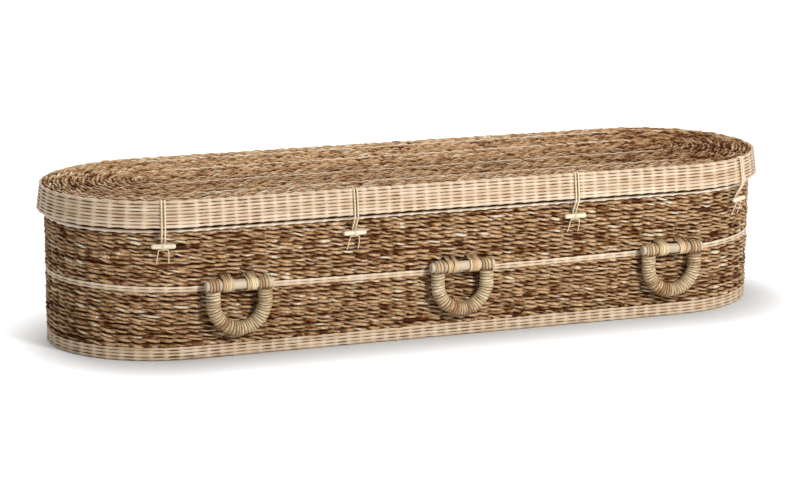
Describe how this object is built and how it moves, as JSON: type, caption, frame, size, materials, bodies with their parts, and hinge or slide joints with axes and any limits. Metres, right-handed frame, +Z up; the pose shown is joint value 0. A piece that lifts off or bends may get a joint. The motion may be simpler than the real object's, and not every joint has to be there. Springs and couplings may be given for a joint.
{
  "type": "banana leaf coffin",
  "caption": "Woven coffin with rounded ends and a hollow inside, a lift-off lid with a flared rim, swinging carrying handles along both sides and cord-and-toggle closures.",
  "frame": {"origin": "centre of the underside, where the coffin stands on the floor", "axes": "+X along the coffin towards its right end seen from the front, -Y the front long side, +Z up"},
  "size_m": [1.9594, 0.6112, 0.4062],
  "materials": {
    "banana_leaf": "twisted dried banana leaf cords, twined in rows, matt with a faint fibre sheen",
    "rattan": "peeled rattan core woven over stakes, pale, smooth and satin",
    "cane": "split cane wound edge to edge, straw coloured, satin",
    "peeled_wood": "peeled and sanded pale wood, smooth, unvarnished",
    "cord": "twisted natural fibre cord, matt"
  },
  "bodies": {
    "coffin": {"basket": "banana_leaf", "lid": "rattan", "handle_bar_front_1": "peeled_wood", "bar_binding_front_1_a": "cane", "bar_binding_front_1_b": "cane", "handle_bar_front_2": "peeled_wood", "bar_binding_front_2_a": "cane", "bar_binding_front_2_b": "cane", "handle_bar_front_3": "peeled_wood", "bar_binding_front_3_a": "cane", "bar_binding_front_3_b": "cane", "toggle_front_1": "peeled_wood", "lid_loop_front_1": "cord", "toggle_tie_front_1": "cord", "toggle_front_2": "peeled_wood", "lid_loop_front_2": "cord", "toggle_tie_front_2": "cord", "toggle_front_3": "peeled_wood", "lid_loop_front_3": "cord", "toggle_tie_front_3": "cord", "toggle_front_4": "peeled_wood", "lid_loop_front_4": "cord", "toggle_tie_front_4": "cord", "handle_bar_back_1": "peeled_wood", "bar_binding_back_1_a": "cane", "bar_binding_back_1_b": "cane", "handle_bar_back_2": "peeled_wood", "bar_binding_back_2_a": "cane", "bar_binding_back_2_b": "cane", "handle_bar_back_3": "peeled_wood", "bar_binding_back_3_a": "cane", "bar_binding_back_3_b": "cane", "toggle_back_1": "peeled_wood", "lid_loop_back_1": "cord", "toggle_tie_back_1": "cord", "toggle_back_2": "peeled_wood", "lid_loop_back_2": "cord", "toggle_tie_back_2": "cord", "toggle_back_3": "peeled_wood", "lid_loop_back_3": "cord", "toggle_tie_back_3": "cord", "toggle_back_4": "peeled_wood", "lid_loop_back_4": "cord", "toggle_tie_back_4": "cord"},
    "bail_front_1": {"handle_bail_front_1": "cane"},
    "bail_front_2": {"handle_bail_front_2": "cane"},
    "bail_front_3": {"handle_bail_front_3": "cane"},
    "bail_back_1": {"handle_bail_back_1": "cane"},
    "bail_back_2": {"handle_bail_back_2": "cane"},
    "bail_back_3": {"handle_bail_back_3": "cane"}
  },
  "joints": [
    {"name": "bail_front_1_swing", "type": "hinge", "parent": "coffin", "child": "bail_front_1", "pos_m": [-0.557, -0.288, 0.186], "axis": [-1, 0, 0], "range_deg": [0, 170]},
    {"name": "bail_front_2_swing", "type": "hinge", "parent": "coffin", "child": "bail_front_2", "pos_m": [0.03, -0.288, 0.186], "axis": [-1, 0, 0], "range_deg": [0, 170]},
    {"name": "bail_front_3_swing", "type": "hinge", "parent": "coffin", "child": "bail_front_3", "pos_m": [0.617, -0.288, 0.186], "axis": [-1, 0, 0], "range_deg": [0, 170]},
    {"name": "bail_back_1_swing", "type": "hinge", "parent": "coffin", "child": "bail_back_1", "pos_m": [-0.557, 0.288, 0.186], "axis": [1, 0, 0], "range_deg": [0, 170]},
    {"name": "bail_back_2_swing", "type": "hinge", "parent": "coffin", "child": "bail_back_2", "pos_m": [0.03, 0.288, 0.186], "axis": [1, 0, 0], "range_deg": [0, 170]},
    {"name": "bail_back_3_swing", "type": "hinge", "parent": "coffin", "child": "bail_back_3", "pos_m": [0.617, 0.288, 0.186], "axis": [1, 0, 0], "range_deg": [0, 170]}
  ]
}
